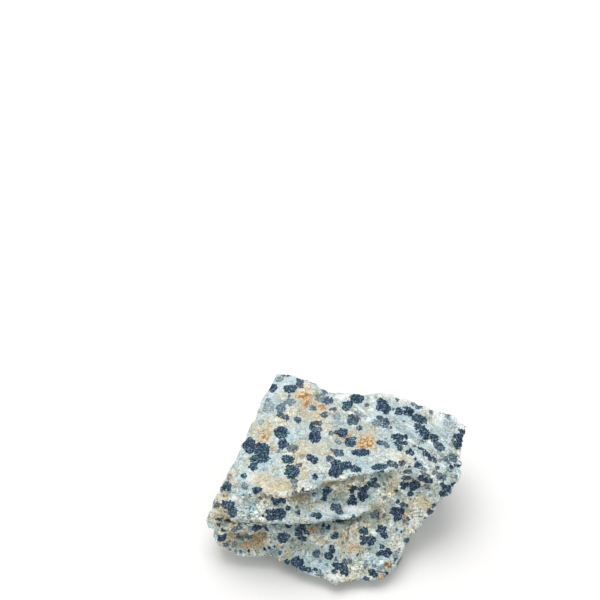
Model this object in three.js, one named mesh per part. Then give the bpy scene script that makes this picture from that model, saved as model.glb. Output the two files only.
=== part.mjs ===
// A rough rock: one palm-sized chunk of spotted stone, broken on every side and not polished. It lies on a
// flat break, with its broad upper face a little inclined. In front the stone has come away in steps, which
// leave a lip under the upper face, a tread, a shelf with a sharp rim, and a long lower face that runs down
// to the toe. Millimetres, +Z up, +X to the stone's right, +Y away from its stepped front.
import * as THREE from "three";
import { ImprovedNoise } from "three/addons/math/ImprovedNoise.js";
import { mergeVertices } from "three/addons/utils/BufferGeometryUtils.js";

// Driving dimensions: the heights of the main breaks above the surface that the stone lies on.
const CREST = 24;
const LIP = 22;
const RIM = 16;
const TOE = 3;

// The mesh over the stone: its columns from left to right, the gap between its rows, how many columns run on
// over each end of the stone to the middle of that end, and how many times the ends are smoothed.
const COLUMNS = 38;
const ROW = 1.7;
const END_COLUMNS = 7;
const SETTLING = 80;

// The roughness of the broken faces: how high, and how far apart, its lumps are.
const LUMPS = [
  { height: 0.6, spacing: 9 },
  { height: 0.5, spacing: 4 },
];

// The lines along which the stone's faces break, each from its left end to its right. They go once round the
// stone: up its front, over its upper face and down its back. The surface is stretched from line to line.
const breaks = {
  baseFront: [
    [-26, 13, 0],
    [-20, 9, 0],
    [-11, 7, 0],
    [-1, 2.5, 0],
    [9, 3, 0],
    [15, 6, 0],
  ],
  toe: [
    [-29.3, 8.8, TOE + 3.5],
    [-27, 7.3, TOE + 2.5],
    [-23, 5.2, TOE + 1.5],
    [-19.3, 5.2, TOE + 1.5],
    [-15, 4.2, TOE + 1.5],
    [-12, 2.8, TOE + 1],
    [-6.5, 0.8, TOE + 0.5],
    [-3, -0.8, TOE],
    [0, -1.5, TOE],
    [5.5, -1, TOE],
    [11, -1, TOE],
  ],
  lowerFace: [
    [-30.3, 10, TOE + 7],
    [-24, 6.5, TOE + 6],
    [-17, 6.8, TOE + 5.5],
    [-11, 5.4, TOE + 5],
    [-4, 5, TOE + 5],
    [3, 4.6, TOE + 4.5],
    [11.5, 5.3, TOE + 5],
    [17, 7, TOE + 5],
  ],
  underRim: [
    [-30.2, 10.6, RIM - 4],
    [-24.5, 7.7, RIM - 3.5],
    [-16.5, 7.8, RIM - 3],
    [-8.5, 8.4, RIM - 2.7],
    [-1.5, 9.3, RIM - 3],
    [4.5, 10.1, RIM - 3.8],
    [7.5, 10.3, RIM - 4],
    [12, 10.5, RIM - 4.2],
    [20, 10.5, RIM - 5.5],
  ],
  rim: [
    [-29.6, 11, RIM - 3],
    [-26.5, 9.3, RIM - 1.5],
    [-23.5, 7.8, RIM - 0.5],
    [-16, 7, RIM],
    [-10, 6.8, RIM],
    [-2.7, 7.7, RIM - 0.5],
    [3.6, 8.8, RIM - 1.5],
    [7, 10.2, RIM - 2.3],
    [12, 11.5, RIM - 2.7],
    [17, 12, RIM - 3],
    [22.3, 12.2, RIM - 3.8],
  ],
  foot: [
    [-28.2, 13, RIM - 0.2],
    [-23.5, 11, RIM + 1.8],
    [-16.5, 9.8, RIM + 2.7],
    [-11.5, 9.7, RIM + 3.5],
    [-5.7, 11.3, RIM + 0.8],
    [-1.5, 11.9, RIM - 0.2],
    [6, 13.2, RIM - 0.5],
    [10, 13.6, RIM],
    [13, 13.2, RIM + 0.7],
    [18, 14, RIM + 1],
    [25, 14, RIM - 1.5],
  ],
  lip: [
    [-26.6, 15, LIP - 3.5],
    [-22.5, 13.8, LIP - 1.5],
    [-17.2, 11.3, LIP - 0.5],
    [-12, 9.9, LIP],
    [-8.2, 11, LIP],
    [-4, 12.2, LIP],
    [1.2, 14.8, LIP + 0.3],
    [4, 15.5, LIP + 0.5],
    [10.2, 16.2, LIP + 0.5],
    [15, 17.2, LIP],
    [18.6, 16, LIP - 1],
    [22, 15.6, LIP - 2.5],
    [27.5, 15.5, LIP - 5.5],
  ],
  upperFront: [
    [-22, 23, CREST - 3],
    [-12, 20, CREST - 2],
    [0, 21, CREST - 1.2],
    [10, 22, CREST - 1],
    [20, 21.5, CREST - 2],
    [30, 19, CREST - 5.5],
  ],
  upperBack: [
    [-19.3, 31, CREST - 2],
    [-8, 31, CREST - 1],
    [5, 30.5, CREST - 0.3],
    [16, 29, CREST - 0.5],
    [24, 28, CREST - 1.5],
    [30.8, 27, CREST - 3.5],
  ],
  backEdge: [
    [-14.3, 45.2, CREST - 1.5],
    [-9, 43.3, CREST - 0.5],
    [-3.2, 39.7, CREST - 0.5],
    [2.8, 37.5, CREST],
    [9, 37.5, CREST],
    [13.3, 37.1, CREST + 0.5],
    [17, 36.1, CREST],
    [20, 34.3, CREST - 1],
    [25, 33.8, CREST - 1.5],
    [28.3, 33.4, CREST - 2],
    [31.4, 30.5, CREST - 3.5],
  ],
  backWall: [
    [-15.5, 44.8, RIM + 2],
    [-8, 44, RIM + 1],
    [-1, 40.5, RIM],
    [6, 39.5, RIM - 1],
    [13, 39.5, RIM + 1],
    [21, 36.5, RIM],
    [28.5, 32.5, RIM + 1.5],
  ],
  backLedge: [
    [-17.5, 43, RIM - 3],
    [-8, 46.2, RIM - 2],
    [0, 44.5, RIM - 3],
    [6, 44, RIM - 5],
    [13, 41.5, RIM - 2],
    [20, 39.5, RIM - 4],
    [27, 33, RIM - 4],
  ],
  baseBack: [
    [-19, 37, 0],
    [-10, 41.5, 0],
    [2, 40, 0],
    [12, 37.5, 0],
    [21, 30.5, 0],
  ],
};

// Single knobs that stand out of the faces, and dents and chips, whose height is below zero.
const knobs = [
  // the bruised lower left corner
  { middle: [-29.5, 10.2, 11], radius: 3.5, height: 0.4 },
  { middle: [-29, 9, 8], radius: 2.5, height: -0.4 },
  { middle: [-26, 7.5, 7.5], radius: 4, height: 1 },
  { middle: [-21, 7, 9.5], radius: 3.5, height: -0.9 },
  // a chip out of the right edge, and a shallow scar on the left of the upper face
  { middle: [30.3, 21.8, 19.3], radius: 4, height: -0.9 },
  { middle: [-13, 21, 22], radius: 8, height: -0.6 },
  // the rib at the tread's right, and a chip out of the lip
  { middle: [10, 12.5, 15], radius: 3, height: 0.8 },
  { middle: [-3.5, 12, 21.5], radius: 3, height: -0.8 },
  // the left end and the right end
  { middle: [-20, 34, 13], radius: 8, height: -1.4 },
  { middle: [-26, 19, 9], radius: 7, height: 1.4 },
  { middle: [27, 25, 12], radius: 7, height: -1.2 },
  { middle: [18.5, 13, 5], radius: 6, height: 1.1 },
];

// The middles of the stone's left and right ends, before they settle.
const leftEnd = new THREE.Vector3(-23.5, 26, 9);
const rightEnd = new THREE.Vector3(23.5, 21, 8);

const noise = new ImprovedNoise();

// The points that part the way from one point to another in equal steps, without the last one.
function steps(from, to, count) {
  return Array.from({ length: count }, (_, i) => from.clone().lerp(to, i / count));
}

// A row of the mesh: from the middle of the left end, along a break line, to the middle of the right end.
function row(corners) {
  const line = new THREE.CatmullRomCurve3(corners.map((corner) => new THREE.Vector3(...corner)));
  const points = line.getSpacedPoints(COLUMNS);
  const last = points.pop();
  const fromLeft = steps(leftEnd, points[0], END_COLUMNS);
  const toRight = steps(last, rightEnd, END_COLUMNS);
  return [...fromLeft, ...points, ...toRight, rightEnd];
}

// The rows that fill the strip from one break line to the next, with the first line's own row.
function strip(near, far) {
  const middle = Math.floor(near.length / 2);
  const count = Math.ceil(near[middle].distanceTo(far[middle]) / ROW);
  return Array.from({ length: count }, (_, i) =>
    near.map((point, j) => point.clone().lerp(far[j], i / count)),
  );
}

// Lets the two ends settle between their outlines, as a stretched film does: each point moves to the middle
// of the four around it, and the point that the rows share to the middle of the ring around that.
function settle(rows) {
  const last = rows[0].length - 1;
  for (let pass = 0; pass < SETTLING; pass++) {
    for (const [middle, inward] of [[0, 1], [last, -1]]) {
      const ring = rows.map((points) => points[middle + inward]);
      const hub = ring.reduce((sum, point) => sum.add(point), new THREE.Vector3()).divideScalar(ring.length);
      rows.forEach((points, i) => {
        points[middle].copy(hub);
        for (let j = middle + inward; j !== middle + END_COLUMNS * inward; j += inward) {
          points[j]
            .addVectors(points[j - 1], points[j + 1])
            .add(rows.at(i - 1)[j])
            .add(rows[(i + 1) % rows.length][j])
            .divideScalar(4);
        }
      });
    }
  }
}

// The two triangles that fill the cell between four points, divided along its shorter diagonal.
function cell(points, a, b, c, d) {
  const straight = points[a].distanceTo(points[c]) < points[b].distanceTo(points[d]);
  return straight ? [a, b, c, a, c, d] : [a, b, d, b, c, d];
}

// The stone before it is roughened: one closed skin of rows that go round it, like a globe's meridians
// between the middles of its two ends, where the cells are single triangles.
function skin() {
  const lines = Object.values(breaks).map(row);
  const rows = lines.flatMap((line, i) => strip(line, lines[(i + 1) % lines.length]));
  settle(rows);
  const points = rows.flat();
  const width = rows[0].length;
  const triangles = rows.flatMap((_, i) => {
    const here = i * width;
    const next = ((i + 1) % rows.length) * width;
    const inner = Array.from({ length: width - 3 }, (_, j) =>
      cell(points, here + j + 1, here + j + 2, next + j + 2, next + j + 1),
    );
    const leftmost = [here, here + 1, next + 1];
    const rightmost = [here + width - 2, here + width - 1, next + width - 2];
    return [leftmost, ...inner, rightmost].flat();
  });
  const geometry = new THREE.BufferGeometry().setFromPoints(points);
  geometry.setIndex(triangles);
  return mergeVertices(geometry, 1e-4);
}

// How far a point is pushed out of the stone's surface, by the lumps and by the knobs that reach it.
function push(at) {
  const lumps = LUMPS.map(
    ({ height, spacing }) => height * noise.noise(at.x / spacing, at.y / spacing, at.z / spacing),
  );
  const bumps = knobs.map(({ middle, radius, height }) => {
    const reach = at.distanceTo(new THREE.Vector3(...middle)) / radius;
    return reach < 1 ? height * (1 - reach * reach) ** 2 : 0;
  });
  return [...lumps, ...bumps].reduce((sum, part) => sum + part, 0);
}

// Moves every vertex in or out, as a break through coarse grain does. The lowest face stays flat.
function roughen(geometry) {
  geometry.computeVertexNormals();
  const place = geometry.attributes.position;
  const normal = geometry.attributes.normal;
  for (let i = 0; i < place.count; i++) {
    const at = new THREE.Vector3().fromBufferAttribute(place, i);
    if (at.z < 0.01) continue;
    const out = new THREE.Vector3().fromBufferAttribute(normal, i);
    at.addScaledVector(out, push(at));
    place.setXYZ(i, at.x, at.y, Math.max(at.z, 0.05));
  }
}

// Sets the geometry down with the origin under the middle of its box.
function setDown(geometry) {
  geometry.computeBoundingBox();
  const { min, max } = geometry.boundingBox;
  geometry.translate(-(min.x + max.x) / 2, -(min.y + max.y) / 2, -min.z);
}

function rock() {
  const geometry = skin();
  roughen(geometry);
  setDown(geometry);
  const stone = new THREE.MeshStandardMaterial({ color: 0xc9cfc8, roughness: 0.85, metalness: 0 });
  const mesh = new THREE.Mesh(geometry, stone);
  mesh.name = "rough_rock";
  return mesh;
}

const part = new THREE.Group();
part.add(rock());

export default part;
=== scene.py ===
# %% [markdown]
# # A rough spotted stone
# A palm-sized chunk of pale feldspar rock, as it comes off the hammer: broken on every side, never polished,
# and full of dark blue-grey rosettes. A plain solid of the stone, already at its true size and place, is our
# fixed frame. In this lesson we give it what a plain solid can't have: the fine break, the rosettes, the
# stains, the grain of the mineral and a photographer's light. The frame comes first, because everything
# else is measured from it.

# %% Load the frame
import math
from typing import NamedTuple

import bmesh
import bpy
import numpy as np
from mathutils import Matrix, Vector, kdtree, noise
from mathutils.bvhtree import BVHTree


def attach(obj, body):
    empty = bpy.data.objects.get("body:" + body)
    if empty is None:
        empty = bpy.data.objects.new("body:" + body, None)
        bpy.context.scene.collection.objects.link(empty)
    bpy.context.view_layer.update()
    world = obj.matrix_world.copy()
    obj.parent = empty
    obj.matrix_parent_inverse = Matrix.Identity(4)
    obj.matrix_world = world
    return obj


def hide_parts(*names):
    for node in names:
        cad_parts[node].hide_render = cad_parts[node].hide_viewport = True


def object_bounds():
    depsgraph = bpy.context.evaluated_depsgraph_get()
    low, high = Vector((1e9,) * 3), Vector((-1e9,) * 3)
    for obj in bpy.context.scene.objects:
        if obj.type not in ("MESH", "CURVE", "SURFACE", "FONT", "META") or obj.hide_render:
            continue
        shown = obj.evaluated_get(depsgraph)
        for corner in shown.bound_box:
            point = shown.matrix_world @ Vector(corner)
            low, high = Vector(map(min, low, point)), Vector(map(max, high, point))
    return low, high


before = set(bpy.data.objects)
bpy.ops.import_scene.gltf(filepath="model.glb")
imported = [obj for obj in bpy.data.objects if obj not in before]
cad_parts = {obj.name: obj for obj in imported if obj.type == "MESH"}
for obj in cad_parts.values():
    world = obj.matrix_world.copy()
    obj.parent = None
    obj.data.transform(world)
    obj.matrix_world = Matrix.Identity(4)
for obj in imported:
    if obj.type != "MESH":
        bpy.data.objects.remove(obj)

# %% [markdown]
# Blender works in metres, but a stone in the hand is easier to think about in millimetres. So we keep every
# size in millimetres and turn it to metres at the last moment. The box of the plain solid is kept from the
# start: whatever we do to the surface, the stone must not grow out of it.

MM = 0.001
SEED = 7
noise.seed_set(SEED)  # without it Blender's vector noise starts from the clock, and differs in each run

scene = bpy.context.scene
solid_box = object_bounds()
low_corner = np.array(solid_box[0]) / MM
high_corner = np.array(solid_box[1]) / MM
print("the solid's box in mm:", low_corner.round(2), high_corner.round(2))

# %% [markdown]
# The camera looks down on the stone, as the photographer did. A long lens keeps the sides of the stone
# nearly parallel. We make the camera before anything else, because the rosettes are placed by where they are
# seen in the photograph: a line from the camera through a pixel meets the stone where the rosette belongs.

# %% Camera, and the line of sight through a pixel
PHOTO = 600  # the photograph is this many pixels wide and high
LENS = 85  # mm
SENSOR = 36  # mm wide
LOOK_DOWN = math.radians(49)
CAMERA_PLACE = Vector((-8.97, -190.34, 294.96))  # mm

camera_data = bpy.data.cameras.new("studio_camera")
camera_data.lens = LENS
camera_data.sensor_width = SENSOR
camera = bpy.data.objects.new("studio_camera", camera_data)
camera.location = CAMERA_PLACE * MM
camera.rotation_euler = (math.radians(90) - LOOK_DOWN, 0, 0)
scene.collection.objects.link(camera)
scene.camera = camera
camera_turn = camera.rotation_euler.to_matrix()


def line_of_sight(px, py):
    """The direction in which the camera sees a pixel of the photograph."""
    pixels_per_lens = PHOTO * LENS / SENSOR
    across = (px - PHOTO / 2) / pixels_per_lens
    up = (PHOTO / 2 - py) / pixels_per_lens
    return (camera_turn @ Vector((across, up, -1))).normalized()


print("camera at", [round(c) for c in CAMERA_PLACE], "mm, with a", LENS, "mm lens")

# %% [markdown]
# The solid's triangles are about 1.7 mm, far too coarse for broken stone. We could subdivide them, but then
# the old edges would still show as a net. A voxel remesh wraps the solid in small even squares instead, and
# even squares take fine relief well. A few rounds of smoothing melt the little stairs that voxels leave.

# %% Wrap the solid in a fine even skin
VOXEL = 0.302  # mm, small enough for the rosettes' edges and large enough to stay under 200,000 triangles
WELD = 0.001  # mm, closer than which two corners of the solid are one
SMOOTHING = 0.5  # how far one round moves a vertex to the middle of its neighbours
SMOOTHING_ROUNDS = 2


def fine_skin(node, name):
    """A new object with the node's shape in fine even squares."""
    joined = bmesh.new()
    joined.from_mesh(node.data)
    bmesh.ops.remove_doubles(joined, verts=joined.verts, dist=WELD * MM)
    coarse = bpy.data.meshes.new(name)
    joined.to_mesh(coarse)
    joined.free()
    skin = bpy.data.objects.new(name, coarse)
    scene.collection.objects.link(skin)
    wrap = skin.modifiers.new("wrap", "REMESH")
    wrap.mode = "VOXEL"
    wrap.voxel_size = VOXEL * MM
    melt = skin.modifiers.new("melt", "SMOOTH")
    melt.factor = SMOOTHING
    melt.iterations = SMOOTHING_ROUNDS
    depsgraph = bpy.context.evaluated_depsgraph_get()
    fine = bpy.data.meshes.new_from_object(skin.evaluated_get(depsgraph))
    skin.modifiers.clear()
    skin.data = fine
    return skin


rock = fine_skin(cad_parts["rough_rock"], "spotted_rock")
print("fine skin:", len(rock.data.vertices), "vertices and", len(rock.data.polygons), "squares")

# %% [markdown]
# The photograph is our map. The line of sight through one of its pixels meets the stone where the camera
# sees it, so what the photograph shows can be put in its place on the stone. A BVH tree, which is a sorted
# box of triangles, finds that place quickly. The direction out of the stone is averaged over a small round,
# so that a single chip doesn't turn a whole rosette.

# %% Find what the camera sees through a pixel
BREADTH = 1.6  # mm around a place over which the direction out of the stone is averaged

surface = BVHTree.FromObject(rock, bpy.context.evaluated_depsgraph_get())


def seen_at(px, py):
    """Where the camera sees the stone through a pixel, in mm, and the direction out of the stone there."""
    place = surface.ray_cast(CAMERA_PLACE * MM, line_of_sight(px, py))[0]
    if place is None:
        return None, None
    around = surface.find_nearest_range(place, BREADTH * MM)
    return place / MM, sum((out for _, out, _, _ in around), Vector()).normalized()


print("through pixel 340, 480 the camera sees", [round(c, 1) for c in seen_at(340, 480)[0]], "mm")

# %% [markdown]
# The skin has nearly 100,000 vertices. We read and write them all at once, as arrays, which is far quicker
# than one by one. A number for each vertex is stored as an attribute, which a material can read. Two more
# helpers pick evenly scattered points and look up the nearest of many points.

# %% Work on all vertices at once
def places(mesh):
    """Every vertex of a mesh as a row of x, y, z in mm."""
    flat = np.empty(len(mesh.vertices) * 3)
    mesh.vertices.foreach_get("co", flat)
    return flat.reshape(-1, 3) / MM


def directions(mesh):
    """The outward direction at every vertex of a mesh."""
    flat = np.empty(len(mesh.vertices) * 3)
    mesh.vertex_normals.foreach_get("vector", flat)
    return flat.reshape(-1, 3)


def store(mesh, name, values):
    """Puts one number per vertex on a mesh, for its material to read."""
    attribute = mesh.attributes.new(name, "FLOAT", "POINT")
    attribute.data.foreach_set("value", np.asarray(values, dtype=np.float32))


def scattered(points, spacing, random):
    """Some of the points, none of them closer to another than the spacing."""
    taken = []
    cells = {}
    for index in random.permutation(len(points)):
        point = points[index]
        cell = tuple((point // spacing).astype(int))
        near = [
            other
            for dx in (-1, 0, 1)
            for dy in (-1, 0, 1)
            for dz in (-1, 0, 1)
            for other in cells.get((cell[0] + dx, cell[1] + dy, cell[2] + dz), ())
        ]
        if all(np.sum((points[other] - point) ** 2) > spacing**2 for other in near):
            cells.setdefault(cell, []).append(index)
            taken.append(index)
    return np.array(taken)


def nearest(points, targets, count):
    """For every point, the indices of the nearest targets and how far off they are, in mm."""
    tree = kdtree.KDTree(len(targets))
    for index, target in enumerate(targets):
        tree.insert(target, index)
    tree.balance()
    found = [tree.find_n(point, count) for point in points]
    indices = np.array([[hit[1] for hit in hits] for hits in found])
    gaps = np.array([[hit[2] for hit in hits] for hits in found])
    return indices, gaps


print("highest vertex of the skin:", places(rock.data)[:, 2].max().round(2), "mm up")

# %% [markdown]
# The break has a few edges that the eye follows: the lip of the upper face, the rim of the shelf with the
# undercut below it, and a few crevices. We draw each as a path of pixels. Near the path the surface is pushed
# out into a sharp edge or in to a groove. The path is shaken a little by noise, as no break runs smoothly.

# %% Edges of the break, as the photograph shows them
class BreakEdge(NamedTuple):
    """An edge: how far it stands out in mm (or in, below zero), its width in mm, and its path in pixels."""

    height: float
    width: float
    path: list


LIP = [
    BreakEdge(0.3, 1.0, [(240, 480), (250, 486), (260, 490)]),
    BreakEdge(0.6, 0.9, [(260, 490), (268, 494), (280, 495), (291, 493), (302, 490.5)]),
    BreakEdge(0.7, 0.8, [(302, 490.5), (311, 488.5), (319, 487), (321, 482), (330, 481), (340, 478.5)]),
    BreakEdge(0.6, 0.8, [(340, 478.5), (350, 475), (366, 472.5), (384, 470.5), (398, 467)]),
    BreakEdge(-1.0, 1.1, [(268, 498.5), (280, 500), (292, 498), (304, 494), (318, 491)]),
    BreakEdge(-0.9, 1.0, [(318, 491), (323, 487), (334, 485), (344, 481.5), (356, 478), (370, 476)]),
    BreakEdge(0.5, 1.1, [(321, 484), (331, 484), (341, 479)]),
]
RIM = [
    BreakEdge(0.5, 0.9, [(222, 516), (236, 518.5), (252, 519.5), (267, 519.5), (282, 520), (300, 520)]),
    BreakEdge(0.5, 0.9, [(300, 520), (318, 519.5), (335, 518), (350, 516.5), (362, 513), (370, 509.5)]),
    BreakEdge(-1.5, 1.6, [(228, 522), (236, 523.5), (252, 524.5), (267, 525), (282, 525), (300, 525)]),
    BreakEdge(-1.5, 1.4, [(300, 525), (318, 524.5), (335, 522.5), (350, 520), (362, 516.5)]),
]
SMALL_EDGES = [
    BreakEdge(0.6, 1.2, [(368, 488), (372, 495), (374, 502), (371, 509)]),
    BreakEdge(0.4, 0.9, [(345, 497), (341, 503), (344, 508)]),
    BreakEdge(0.4, 1.0, [(384, 484), (389, 492), (387, 500)]),
    BreakEdge(-0.45, 0.8, [(428, 450), (440, 459), (452, 468)]),
    BreakEdge(-0.45, 0.8, [(437, 454), (449, 462), (460, 471)]),
    BreakEdge(-0.6, 0.8, [(453, 461), (458, 465), (462, 469)]),
    BreakEdge(-0.7, 1.2, [(240, 546), (251, 545), (262, 547)]),
    BreakEdge(-0.7, 1.3, [(257, 536), (262, 540), (268, 535)]),
    BreakEdge(-0.6, 1.1, [(370, 575), (378, 571), (386, 573)]),
]
PATH_STEP = 0.15  # mm from point to point
SHAKE = 0.3  # mm, how far a path strays
SHAKE_SIZE = 1.2  # mm, how far apart its bends are


def along(path):
    """Close points on the stone along a path of pixels, without those where the camera sees past it."""
    corners = [place for place, _ in (seen_at(px, py) for px, py in path) if place is not None]
    line = []
    for start, end in zip(corners, corners[1:]):
        steps = math.ceil((end - start).length / PATH_STEP)
        line += [start.lerp(end, step / steps) for step in range(steps)]
    return line


def shaken(points):
    """The points, each moved a little by noise, so that what is measured from them gets ragged."""
    noises = [noise.noise_vector(Vector(point) / SHAKE_SIZE) for point in points]
    return points + SHAKE * np.array(noises)


def edge_height(points, edges):
    """How far out each point is pushed by the edge or groove nearest to it."""
    lines = [along(edge.path) for edge in edges]
    owner = np.repeat(np.arange(len(edges)), [len(line) for line in lines])
    indices, gaps = nearest(points, [place for line in lines for place in line], 1)
    heights = np.array([edge.height for edge in edges])[owner[indices[:, 0]]]
    widths = np.array([edge.width for edge in edges])[owner[indices[:, 0]]]
    return heights * np.clip(1 - gaps[:, 0] / widths, 0, 1)


print("edges of the break:", len(LIP + RIM + SMALL_EDGES))

# %% [markdown]
# Crumbled ground, rust and paler places have no sharp border. For these we lay a soft blob where the
# photograph shows one. It is an ellipse of the photograph laid on the slanting stone, strongest in its
# middle. Where the stone turns away from the camera such an ellipse would stretch without end, so its
# stretch has a limit.

# %% Soft patches
PIXELS_PER_MM = 4.2  # of the photograph, at the stone
LEAST_FACING = 0.45  # of 1, what turns away further than this isn't stretched any more
PATCH_DEPTH = 0.5  # of its longer half, how deep a patch reaches into the stone


class Patch(NamedTuple):
    """A soft patch as the camera sees it: its middle and size in pixels, how strong it is, and its turn."""

    px: float
    py: float
    wide: float
    tall: float
    strength: float = 1
    turn: float = 0


def axes_on(out, sight, wide, tall, turn):
    """The ellipse's two half axes laid on the stone, from its size as the camera sees it."""
    right = camera_turn @ Vector((math.cos(turn), -math.sin(turn), 0))
    down = camera_turn @ Vector((-math.sin(turn), -math.cos(turn), 0))
    laid = []
    for axis, length in ((right, wide / 2), (down, tall / 2)):
        slant = axis - sight * (axis.dot(out) / min(sight.dot(out), -LEAST_FACING))
        laid.append(slant * length)
    return laid


def cover_of(points, patches):
    """How strongly each point is covered by soft patches, given as rows of a patch's values."""
    cover = np.zeros(len(points))
    for row in patches:
        patch = Patch(*row)
        middle, out = seen_at(patch.px, patch.py)
        if middle is None:
            print("no stone at pixel", patch.px, patch.py)
            continue
        sight = line_of_sight(patch.px, patch.py)
        wide, tall = patch.wide / PIXELS_PER_MM, patch.tall / PIXELS_PER_MM
        along, across = axes_on(out, sight, wide, tall, math.radians(patch.turn))
        away = points - np.array(middle)
        reach = (away @ np.array(along) / along.length_squared) ** 2
        reach += (away @ np.array(across) / across.length_squared) ** 2
        reach += (away @ np.array(out) / (PATCH_DEPTH * max(along.length, across.length))) ** 2
        cover = np.maximum(cover, patch.strength * np.exp(-reach))
    return cover


print("an ellipse 42 pixels wide is", 42 / PIXELS_PER_MM, "mm on a face that looks at the camera")

# %% [markdown]
# Feldspar doesn't break like clay. It cleaves in small, nearly flat flakes that meet in ridges, at two
# sizes: chips of some millimetres where the hammer bit, and the single crystals between them. A noise
# texture would give soft hills. We want flakes, so each chip is a shallow bowl with its own slope, and the
# surface follows the lowest bowl at each point. Where two bowls cross, a ridge is left, as in the real break.
# The upper face is a clean break. The front is rougher, some spots on it have crumbled, and one corner of
# the upper face is worn round.

# %% Chip the surface
CHIPS = [
    # spacing of the chips, depth of each bowl and how far chips step, in mm; how far each bowl is tilted
    {"spacing": 4.6, "bowl": 0.16, "tilt": 0.1, "step": 0.2},
    {"spacing": 1.7, "bowl": 0.08, "tilt": 0.14, "step": 0.09},
]
NEAR_CHIPS = 8  # how many of the nearest chips can be the lowest at a point
DUST_SIZE = 0.9  # mm
DUST_HEIGHT = 0.13  # mm
DUST_LAYERS = (0.8, 2.0, 3)  # how fast the layers get weaker, how much finer each is, and how many
FRONT_ROUGHNESS = 0.9  # how much stronger the relief is where the stone faces the front
SIDE_ROUGHNESS = 0.6  # the same for the other steep sides, compared with the front
LEVEL = 0.85  # of 1, a face that looks up more than this is no side
CRUMBLED = [
    (236, 534, 54, 30, 1.6), (222, 512, 24, 24, 0.5), (376, 575, 30, 14, 1.8), (404, 500, 40, 30, 1.2),
    (318, 496, 50, 14, 0.8), (400, 545, 30, 50, 0.7), (448, 462, 40, 30, 0.6),
]
WORN = [(278, 380, 26, 24)]  # a rounded corner, where the chips have worn off
HIGHEST_CHIP = 0.5  # mm that a chip may stand out, or a corner of the stone would grow a thorn
FLAT_UNDER = 0.25  # mm: what is lower than this and looks down is the face that the stone rests on
LOOKS_DOWN = -0.5


def chipped(points, spacing, bowl, tilt, step, random):
    """How far out each point is left by chips of one size."""
    centres = points[scattered(points, spacing, random)]
    slopes = random.normal(0, tilt, (len(centres), 3))
    steps = random.uniform(-step, step, len(centres))
    indices, gaps = nearest(points, centres, NEAR_CHIPS)
    away = points[:, None, :] - centres[indices]
    bowls = bowl * (gaps / (spacing / 2)) ** 2 + steps[indices] + np.sum(away * slopes[indices], axis=2)
    height = bowls.min(axis=1)
    return height - height.mean()


def break_surface(mesh):
    """Moves every vertex in or out along its direction, and keeps the resting face and the box."""
    random = np.random.default_rng(SEED)
    points, out = places(mesh), directions(mesh)
    height = sum(chipped(points, random=random, **size) for size in CHIPS)
    height += [DUST_HEIGHT * noise.fractal(Vector(point) / DUST_SIZE, *DUST_LAYERS) for point in points]
    rough = np.maximum(np.clip(-out[:, 1], 0, 1), SIDE_ROUGHNESS * np.clip(LEVEL - out[:, 2], 0, 1))
    rough += cover_of(points, CRUMBLED)
    height = np.minimum(height * (1 + FRONT_ROUGHNESS * rough), HIGHEST_CHIP)
    height *= 1 - cover_of(points, WORN)
    store(mesh, "rough", rough)
    # how deep each point lies in a hollow, which the material darkens as painted shade
    store(mesh, "hollow", -height)
    height += edge_height(shaken(points), LIP + RIM + SMALL_EDGES)
    resting = (points[:, 2] < FLAT_UNDER) & (out[:, 2] < LOOKS_DOWN)
    moved = points + out * np.where(resting, 0, height)[:, None]
    moved[resting, 2] = 0
    moved = np.clip(moved, low_corner, high_corner)
    mesh.vertices.foreach_set("co", (moved * MM).ravel())
    mesh.update()
    return height


relief = break_surface(rock.data)
print("relief in mm: from", relief.min().round(2), "to", relief.max().round(2))

# %% [markdown]
# A rosette is a flower-like cluster of dark round grains, each about a millimetre across, grown in the
# pale rock. They are colour, not relief, and they go through the whole stone. So we don't draw them on a
# flat picture: each grain is a small ball in space, and wherever the broken surface cuts a ball, it is dark.
# The rosettes that the photograph shows are listed by the pixel of their middle, their width and height in
# pixels, how dark they are and how far they are turned. The last two are left out of a row where the rosette
# is dark and upright. The grains are then packed by the computer.

# %% Rosettes of the upper face, as the photograph shows them
DARK = 1.0
SLATE = 0.88
MID = 0.72
GREY = 0.55
FAINT = 0.38


class Rosette(NamedTuple):
    """A rosette as the camera sees it: its middle, width and height in pixels, its darkness and its turn."""

    px: float
    py: float
    wide: float
    tall: float
    tone: float = DARK
    turn: float = 0


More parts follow.
